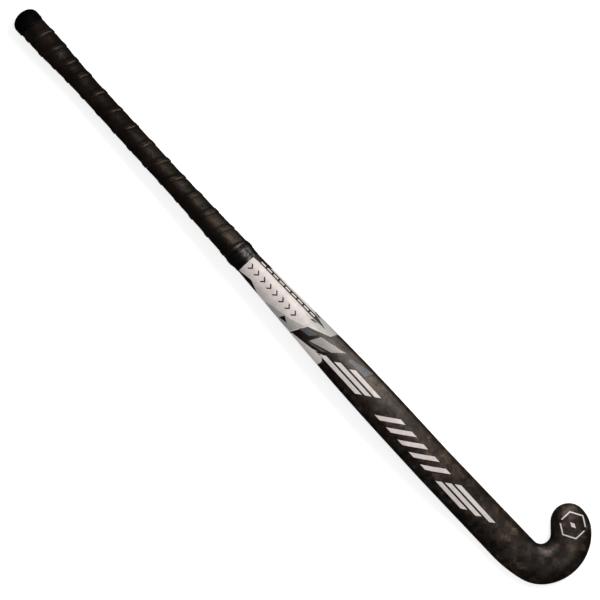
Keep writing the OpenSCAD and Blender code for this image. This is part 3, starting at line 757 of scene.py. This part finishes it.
def make_cap():
    bore = BUTT_ROUND + CAP_SLACK
    spigot = BUTT_ROUND - SHELL_WALL - BOND_GAP
    dome = [
        (CAP_RADIUS * math.sin(a), CAP_SHOULDER * (1 - math.cos(a)))
        for a in spread(DOME_FROM, math.pi / 2, 40)
    ]
    skirt = [(CAP_RADIUS, z) for z in spread(CAP_SHOULDER, CAP_LENGTH - CAP_LIP, 8)[1:]]
    rounding = [
        (CAP_RADIUS - CAP_LIP * (1 - math.cos(a)), CAP_LENGTH - CAP_LIP * (1 - math.sin(a)))
        for a in spread(0, math.pi / 2, 6)[1:]
    ]
    spigot_end = CAP_SOLID + SPIGOT_LENGTH
    inner = [
        (bore, CAP_LENGTH),
        (bore, CAP_SOLID),
        (spigot, CAP_SOLID),
        (spigot, spigot_end - SPIGOT_CHAMFER),
        (spigot - SPIGOT_CHAMFER, spigot_end),
    ]
    outline = dome + skirt + rounding + inner
    around = 144
    points = []
    for r, z in outline:
        for k in range(around):
            a = TAU * k / around
            round_axis = ACROSS * r * math.cos(a) + SIDEWAYS * r * math.sin(a)
            points.append(TIP + AXIS * z + round_axis)
    faces = loft_faces(len(outline), around)[0]
    first = len(points)
    points.append(TIP)
    faces += [(first, (k + 1) % around, k) for k in range(around)]
    last = (len(outline) - 1) * around
    faces.append(tuple(last + k for k in range(around)))
    make_piece("butt_cap", points, faces, None, ["end_cap"], cap_rubber)


make_cap()

# ---- Grip: a cushioned strip wound with an overlap that stands up as a soft ridge ----

CAP_TO_GRIP = 0.6
GRIP_START = BUTT_X + CAP_LENGTH + CAP_TO_GRIP
GRIP_END = -479
GRIP_THICKNESS = 1.6
WINDING_PITCH = 27.4
BUTT_PITCH = 22
PITCH_CHANGE = -764.5
GRIP_CLEAR = 0.12
GRIP_EDGE_THICKNESS = 0.7
RIDGES_END = -486.6


def winding(x, turn):
    """Distance along the handle from the nearest ridge of the winding, at an angle round it."""
    pitch = BUTT_PITCH if x < PITCH_CHANGE else WINDING_PITCH
    turns = (x - PITCH_CHANGE) / pitch + (turn - math.pi / 2) / TAU
    number = np.round(turns)
    sway = 0.5 * np.sin(2.1 * number + turn) + 0.35 * np.sin(4.7 * number + 3 * turn)
    return (turns - number) * pitch + sway, number


def strip_height(x, turn):
    """Height of the wound strip over its base: a ridge with a lip, a groove and a soft swell."""
    d, number = winding(x, turn)
    rise = smooth((d + 5.2) / 4.2)
    drop = 1 - smooth((d - 2.3) / 0.9)
    top = 0.74 + 0.1 * np.sin(1.7 * number + 2 * turn)
    ridge = top * rise * drop * (1 - 0.15 * smooth((d + 1.5) / 3))
    lip = 0.2 * np.exp(-(((d - 1.6) / 0.8) ** 2))
    groove = -0.36 * np.exp(-(((d - 3.6) / 0.8) ** 2))
    pillow = 0.16 * np.cos(np.clip((d - 8.5) / 6, -1, 1) * math.pi / 2)
    return ridge + lip + groove + pillow


def grip_growth(x):
    turn = RIM.turn
    fade = float(smooth((RIDGES_END - x) / 4.5) * smooth((x - GRIP_START + 2.5) / 5))
    full = float(smooth((GRIP_END + 4 - x) / 12))
    base = GRIP_EDGE_THICKNESS + (GRIP_THICKNESS - GRIP_EDGE_THICKNESS) * full
    edge = 0.55 * (1 - float(smooth((x - GRIP_START) / 0.8)))
    puff = 0.05 * np.sin(x / 5.3 + 2 * turn) + 0.04 * np.sin(x / 3.1 - 3 * turn)
    return base - edge + fade * (strip_height(x, turn) + puff)


def make_grip():
    xs = spread(GRIP_START, GRIP_END, 620)
    stations = [shaft_station(x) for x in xs]
    under = [shaft_station(x) for x in spread(GRIP_START, GRIP_END, 60)]
    stick_piece(
        "grip_wrap",
        stations,
        [grip_growth(x) for x in xs],
        ["grip_tape"],
        grip_cushion,
        (under, [GRIP_CLEAR] * len(under)),
    )


make_grip()

# ---- Finishing tape: stretched turns of vinyl over the end of the grip ----

BAND_START = -488
BAND_WIDTH = 20
BAND_CLEAR = 0.12
BAND_SKIN = 0.12
SHAFT_CLEAR = 0.1
OVER_GRIP = 0.25
ROLL_HEIGHT = 0.18
ROLLS = [(-484.6, 1.1, 0.6), (-480.4, 1.2, -0.5), (-476.0, 1.0, 0.8), (-472.2, 0.9, 0.3)]


def under_band(x):
    climb = float(smooth((GRIP_END + 6 - x) / 10))
    return BAND_CLEAR + mix(SHAFT_CLEAR, GRIP_THICKNESS + OVER_GRIP, climb)


def band_growth(x):
    turn = RIM.turn
    k = (x - BAND_START) / BAND_WIDTH
    skew = 0.9 * np.sin(turn + 0.6) + 0.4 * np.sin(2 * turn)
    rolls = sum(
        ROLL_HEIGHT * np.exp(-(((x - at - skew * lean) / wide) ** 2)) for at, wide, lean in ROLLS
    )
    crease = 0.05 * np.sin(x * 2.3 + 5 * turn) + 0.035 * np.sin(x * 3.9 - 9 * turn)
    ends = float(smooth(k / 0.05) * smooth((1 - k) / 0.05))
    swell = 0.14 + 0.28 * math.sin(math.pi * k)
    return under_band(x) + BAND_SKIN + (swell + rolls + crease) * ends


def make_band():
    xs = spread(BAND_START, BAND_START + BAND_WIDTH, 90)
    stations = [shaft_station(x) for x in xs]
    under = [shaft_station(x) for x in xs[::3]]
    stick_piece(
        "finishing_band",
        stations,
        [band_growth(x) for x in xs],
        ["finishing_tape"],
        band_vinyl,
        (under, [under_band(x) for x in xs[::3]]),
    )


make_band()

# ---- Transfers: printed films under the gloss, which follow the back of the shell ----

EDGE = 99
EDGE_SHARE = 0.995
STEP_ALONG = 2.5
STEP_ROUND = math.radians(2.5)
FILM = 0.05
FIRST_LAYER = 0.05
LAYER_STEP = 0.08


def round_angle(p):
    st = shaft_station(p[0])
    return math.acos(min(EDGE_SHARE, max(-EDGE_SHARE, (p[1] - st.mid[1]) / st.wide)))


def film_point(x, a, off):
    """Point a distance off the back of the shaft, at an angle round it."""
    st = shaft_station(x)
    v = math.cos(a)
    s = (1 - abs(v) ** st.power) ** (1 / st.power)
    across = math.copysign(abs(v) ** (st.power - 1), v) / st.wide
    up = s ** (st.power - 1) / st.height
    out = off / math.hypot(across, up)
    return lift(x, st.mid[1] + v * st.wide + out * across, st.depth + s * st.height + out * up)


def film_grids(columns, off):
    """Grid of points over a patch whose columns are pairs of plan points, low y then high y."""
    kept = []
    for pair in columns:
        limit = [EDGE_SHARE * shaft_station(p[0]).wide for p in pair]
        kept.append([np.array([p[0], min(w, max(-w, p[1]))]) for p, w in zip(pair, limit)])
    turns = [[round_angle(p) for p in pair] for pair in kept]
    rows = max(2, math.ceil(max(abs(t[0] - t[1]) for t in turns) / STEP_ROUND))
    grid = []
    for i, (a, b) in enumerate(zip(kept, kept[1:])):
        steps = math.ceil(
            max(
                np.hypot(*(b[0] - a[0])) / STEP_ALONG,
                np.hypot(*(b[1] - a[1])) / STEP_ALONG,
                abs(turns[i][0] - turns[i + 1][0]) / STEP_ROUND,
                abs(turns[i][1] - turns[i + 1][1]) / STEP_ROUND,
            )
        )
        for k in range(steps + (i == len(kept) - 2)):
            low, high = mix(a[0], b[0], k / steps), mix(a[1], b[1], k / steps)
            ends = round_angle(low), round_angle(high)
            grid.append(
                [(mix(low[0], high[0], j / rows), mix(*ends, j / rows)) for j in range(rows + 1)]
            )
    return [[film_point(x, t, off) for x, t in row] for row in grid]


def film_mesh(lower, upper):
    """Points and faces of a closed thin film between two grids."""
    m, n = len(lower), len(lower[0])
    size = m * n
    points = [p for row in lower for p in row] + [p for row in upper for p in row]
    faces = []
    for i in range(m - 1):
        for j in range(n - 1):
            k = i * n + j
            faces.append((k, k + 1, k + n + 1, k + n))
            faces.append((size + k, size + k + n, size + k + n + 1, size + k + 1))
    rim = (
        list(range(n))
        + [i * n + n - 1 for i in range(1, m)]
        + [(m - 1) * n + j for j in range(n - 2, -1, -1)]
        + [i * n for i in range(m - 2, 0, -1)]
    )
    for a, b in zip(rim, rim[1:] + rim[:1]):
        faces.append((a, b, b + size, a + size))
    return points, faces


def join_films(name, films, nodes, material):
    """One piece from closed films, with its plan as its UVs."""
    points, faces = [], []
    for p, f in films:
        faces += [tuple(len(points) + k for k in face) for face in f]
        points += p
    flat = np.array(points)
    uvs = [flat[k][:2] for face in faces for k in face]
    make_piece(name, points, faces, uvs, nodes, material)


def make_films(name, patches, nodes, material):
    """One piece of print from patches, each a list of columns and its layer."""
    films = []
    for columns, layer in patches:
        off = FIRST_LAYER + layer * LAYER_STEP
        films.append(film_mesh(film_grids(columns, off), film_grids(columns, off + FILM)))
    join_films(name, films, nodes, material)


BAR_LEAN = 1.3
BAR_BASE = -11.3
BAR_HEIGHT = 4.8
BAR_STEP = 7.0
BAR_ROWS = 3
OUTLINE = 0.9
SLASH_HEIGHT = BAR_HEIGHT + 2 * BAR_STEP
SLASH_WIDTH = 8.6
SLASHES = [-237 + i * 19.4 for i in range(5)]
# Each group: start and length of its lowest bar, and what each bar above adds to both
BAR_GROUPS = [(-332, 62, 9, -9), (-133.5, 44, 0, 9)]


def leaning_bar(x, low, height, length, margin):
    """Columns of a leaning bar, widened by a margin on every side."""
    bottom, top = low - margin, low + height + margin
    near_low = x + BAR_LEAN * (bottom - BAR_BASE)
    near_high = x + BAR_LEAN * (top - BAR_BASE)
    side = BAR_LEAN * margin
    return [
        ((near_low - side, bottom), (near_high - side, top)),
        ((near_low + length + side, bottom), (near_high + length + side, top)),
    ]


def speed_bars(margin, layer):
    bars = []
    for start, length, more_start, more_length in BAR_GROUPS:
        for row in range(BAR_ROWS):
            x, long = start + row * more_start, length + row * more_length
            bar = leaning_bar(x, BAR_BASE + row * BAR_STEP, BAR_HEIGHT, long, margin)
            bars.append((bar, layer))
    for x in SLASHES:
        bars.append((leaning_bar(x, BAR_BASE, SLASH_HEIGHT, SLASH_WIDTH, margin), layer))
    return bars


make_films(
    "white_panel",
    [
        (
            [
                ((-468, -14), (-468, 8.8)),
                ((-450, -11), (-450, 11)),
                ((-433, -EDGE), (-442, EDGE)),
                ((-375, -EDGE), (-379, EDGE)),
                ((-365, 0.6), (-364.5, EDGE)),
                ((-338, 12.4), (-333, EDGE)),
            ],
            0,
        ),
        (
            [
                ((-374, -EDGE), (-372, -17.8)),
                ((-343, -EDGE), (-342.5, -13)),
                ((-334, -EDGE), (-330.5, -8)),
                ((-325, -EDGE), (-324, -15)),
            ],
            0,
        ),
    ],
    ["panel_transfer"],
    panel_ink,
)
make_films(
    "arrow_print",
    [
        ([((-460, 9.8), (-460, 14)), ((-367, 12.4), (-367, 16.9)), ((-350, 13.6), (-350, 14))], 1),
        ([((-372.5, 18.6), (-371, 20)), ((-364, 17.4), (-362, 18.4))], 1),
        ([((-369.5, 8.6), (-367.5, 11.4)), ((-361, 11), (-362, 12))], 1),
        ([((-396.5, -16.4), (-393, -10.7)), ((-385, -14.3), (-392, -10.7))], 2),
        ([((-338.5, -12), (-310, 9.6)), ((-335, -12), (-306.8, 9.6))], 1),
    ],
    ["arrow_transfer"],
    black_ink,
)


def dashes():
    first_x, first_y, count = -457.5, 11.9, 9
    pitch, length, drift, half, rise = 10.2, 7.6, 0.31, 0.7, 0.25
    found = []
    for i in range(count):
        x, y = first_x + i * pitch, first_y + i * drift
        start = ((x, y - half), (x, y + half))
        end = ((x + length, y + rise - half), (x + length, y + rise + half))
        found.append(([start, end], 2))
    return found


make_films("dash_print", dashes(), ["dash_transfer"], white_ink)


def chevrons():
    first_x, count, half_gap = -464, 8, 0.03
    low, high, stroke, depth, pitch = -4.7, 2.9, 2.2, 3.8, 10.6
    middle = (low + high) / 2
    found = []
    for i in range(count):
        x = first_x + i * pitch
        for side in (-1, 1):
            y = low if side < 0 else high
            tail = [(x, y), (x + stroke, y)]
            split = middle + half_gap * side
            nose = [(x + depth, split), (x + depth + stroke, split)]
            a, b = (tail, nose) if side < 0 else (nose, tail)
            found.append(([(a[0], b[0]), (a[1], b[1])], 1))
    return found


make_films("chevron_print", chevrons(), ["chevron_transfer"], black_ink)
make_films(
    "shade_print",
    [
        (
            [
                ((-419, -EDGE), (-419, -15.2)),
                ((-386, -EDGE), (-386, -8.4)),
                ((-375.5, -17.4), (-374, -3.9)),
                ((-368, -3.4), (-367, -1.3)),
            ],
            1,
        )
    ],
    ["shade_transfer"],
    grey_ink,
)
make_films(
    "ribbed_block_print",
    [([((-352, -9.3), (-345.5, 3.9)), ((-324.5, 0.1), (-312, 12.4))], 1)],
    ["ribbed_block_transfer"],
    ribbed_ink,
)
make_films(
    "slate_block_print",
    [
        ([((-370.5, -8.4), (-364.6, 0.2)), ((-355.5, -5.5), (-350, 2.7))], 1),
        ([((-354, -12.1), (-349.5, -9.4)), ((-333, -7), (-328, -3.2))], 1),
        ([((-303.5, 8.7), (-302, 13)), ((-276.5, 10), (-271.5, 20.4))], 1),
    ],
    ["slate_block_transfer"],
    slate_ink,
)
make_films("speed_bar_print", speed_bars(0.0, 1), ["speed_bar_transfer"], white_ink)
make_films("speed_bar_outline", speed_bars(OUTLINE, 0), [], black_ink)

# ---- Head badge ----

BADGE_CENTRE = np.array([18, HOOK_OFFSET + 34.8])
BADGE_RADIUS = 17
BADGE_LINE = 1.7
BADGE_GAP = 0.16
DIAMOND_RADIUS = 5
DIAMOND_TIP = 0.1
HALVINGS = 24


def head_point(p, off):
    """Point over the head's back, above a plan point, found by halving along the hook."""
    low, high = 0.4, 0.95
    for _ in range(HALVINGS):
        f = (low + high) / 2
        q, rib = heel_edge(f), toe_edge(f) - heel_edge(f)
        d = p - q
        low, high = (low, f) if rib[0] * d[1] - rib[1] * d[0] > 0 else (f, high)
    st = head_station((low + high) / 2)
    v = float((p - st.mid) @ st.half) / float(st.half @ st.half)
    return lift(p[0], p[1], float(back_at(st, v)) + off)


def head_film(columns):
    grid = [spread(a, b, 3) for a, b in columns]
    return film_mesh(
        [[head_point(p, FIRST_LAYER) for p in row] for row in grid],
        [[head_point(p, FIRST_LAYER + FILM) for p in row] for row in grid],
    )


def hexagon_edge(r, k, t):
    a, b = (on_circle(BADGE_CENTRE, r, 60 * i + 30) for i in (k, k + 1))
    return mix(a, b, t)


def bracket(first):
    """Three sides of the hexagon, cut short at both ends."""
    steps = 16
    last = first + 2
    columns = []
    for k in range(first, last + 1):
        for i in range(steps + (k == last)):
            t = i / steps
            t = max(t, BADGE_GAP) if k == first else t
            t = min(t, 1 - BADGE_GAP) if k == last else t
            columns.append(
                (hexagon_edge(BADGE_RADIUS, k, t), hexagon_edge(BADGE_RADIUS - BADGE_LINE, k, t))
            )
    kept = columns[:1]
    for c in columns[1:]:
        if np.hypot(*(c[0] - kept[-1][0])) > 0.01:
            kept.append(c)
    return kept


def make_badge():
    diamond = []
    for a in spread(-DIAMOND_RADIUS, DIAMOND_RADIUS, 12):
        b = max(DIAMOND_TIP, DIAMOND_RADIUS - abs(a)) / 2
        diamond.append((BADGE_CENTRE + (a, -b), BADGE_CENTRE + (a, b)))
    films = [head_film(columns) for columns in (bracket(0), bracket(3), diamond)]
    join_films("badge_print", films, ["head_badge"], white_ink)


make_badge()

# ---- Pieces inside the shell keep their CAD shape ----

tube_material = tube_look("braided_tube")
foam_material = foam_look("core_foam")
for name, material in (
    ("toe_side_tube", tube_material),
    ("heel_side_tube", tube_material),
    ("head_core", foam_material),
    ("handle_foam", foam_material),
):
    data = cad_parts[name].data
    data.materials.clear()
    data.materials.append(material)

# ---- Floor, lights and camera ----


WHITE = (1, 1, 1)
FLOOR_HALF = 9.0
FLOOR_GLOW = 0.6


def stage_floor():
    mesh = bpy.data.meshes.new("studio_floor")
    corners = [(x * FLOOR_HALF, y * FLOOR_HALF, 0) for x, y in ((-1, -1), (1, -1), (1, 1), (-1, 1))]
    mesh.from_pydata(corners, [], [(0, 1, 2, 3)])
    look = Look("studio_floor", Roughness=0.9, Specular_IOR_Level=0.1)
    soft = look.noise(look.place(), 3, 2)
    ray = look.put("LightPath")
    look.wear("Base Color", look.blend(soft, (0.86, 0.86, 0.86, 1), (0.9, 0.9, 0.9, 1)))
    look.shader.inputs["Emission Color"].default_value = (*WHITE, 1)
    look.wear("Emission Strength", look.calc("MULTIPLY", ray.outputs["Is Camera Ray"], FLOOR_GLOW))
    clear = look.put("BsdfTransparent")
    back = look.put("NewGeometry").outputs["Backfacing"]
    dim = look.put("BsdfDiffuse", None, Color=(0.03, 0.029, 0.028, 1))
    seen = look.shader.outputs[0]
    glossy = ray.outputs["Is Glossy Ray"]
    pale = look.put("MixShader", None, i0=glossy, i1=seen, i2=dim.outputs[0])
    both = look.put("MixShader", None, i0=back, i1=pale.outputs[0], i2=clear.outputs[0])
    out = next(n for n in look.tree.nodes if n.type == "OUTPUT_MATERIAL")
    look.tree.links.new(both.outputs[0], out.inputs[0])
    mesh.materials.append(look.material)
    floor = bpy.data.objects.new("studio_floor", mesh)
    bpy.context.scene.collection.objects.link(floor)


stage_floor()

CENTRE = Vector((-0.39, 0.02, 0.02))


def area_light(name, offset, size, power, colour=WHITE, gloss=True, diffuse=True):
    """A rectangular light aimed at the centre, which may be left out of one kind of light."""
    data = bpy.data.lights.new(name, "AREA")
    data.shape = "RECTANGLE"
    data.size, data.size_y = size
    data.energy = power
    data.color = colour
    light = bpy.data.objects.new(name, data)
    light.location = CENTRE + Vector(offset)
    light.visible_glossy = gloss
    light.visible_diffuse = diffuse
    light.rotation_euler = (-Vector(offset)).to_track_quat("-Z", "Y").to_euler()
    bpy.context.scene.collection.objects.link(light)


WARM = (1.0, 0.95, 0.9)
area_light("key_softbox", (0.02, 0.98, 1.12), (1.2, 0.8), 18.8, WARM, gloss=False)
area_light("fill_softbox", (0.5, -1.6, 1.9), (1.4, 1.0), 10, gloss=False)
area_light("sheen_softbox", (0.04, 0.28, 0.53), (0.28, 0.42), 4.0, WARM, diffuse=False)
area_light("edge_softbox", (0.06, 0.58, 0.16), (0.3, 0.25), 1.3, WARM, diffuse=False)
area_light("hook_softbox", (0.62, 0.06, 0.6), (0.15, 0.15), 0.5, WARM, diffuse=False)

world = bpy.data.worlds.new("studio")
world.use_nodes = True
bpy.context.scene.world = world
tree = world.node_tree
sight = tree.nodes.new("ShaderNodeLightPath")
levels = []
for ray, level in (("Is Camera Ray", 0.95), ("Is Diffuse Ray", 0.36), ("Is Glossy Ray", 0.02)):
    share = tree.nodes.new("ShaderNodeMath")
    share.operation = "MULTIPLY_ADD"
    share.inputs[1].default_value = level
    share.inputs[2].default_value = 0.0
    tree.links.new(sight.outputs[ray], share.inputs[0])
    if levels:
        tree.links.new(levels[-1], share.inputs[2])
    levels.append(share.outputs[0])
tree.links.new(levels[-1], tree.nodes["Background"].inputs[1])
tree.nodes["Background"].inputs[0].default_value = (*WHITE, 1)

LENS = 300
SENSOR = 36
VIEW_WIDTH = 0.7076
VIEW_LEVEL = 0.012
VIEW_TURN = math.radians(47.471)
camera_data = bpy.data.cameras.new("camera")
camera_data.lens = LENS
camera_data.sensor_width = SENSOR
camera = bpy.data.objects.new("camera", camera_data)
camera.location = (-0.3946, 0.0152, VIEW_LEVEL + VIEW_WIDTH * LENS / SENSOR)
camera.rotation_euler = (0, 0, VIEW_TURN)
bpy.context.scene.collection.objects.link(camera)
bpy.context.scene.camera = camera
bpy.context.scene.view_settings.view_transform = "Standard"
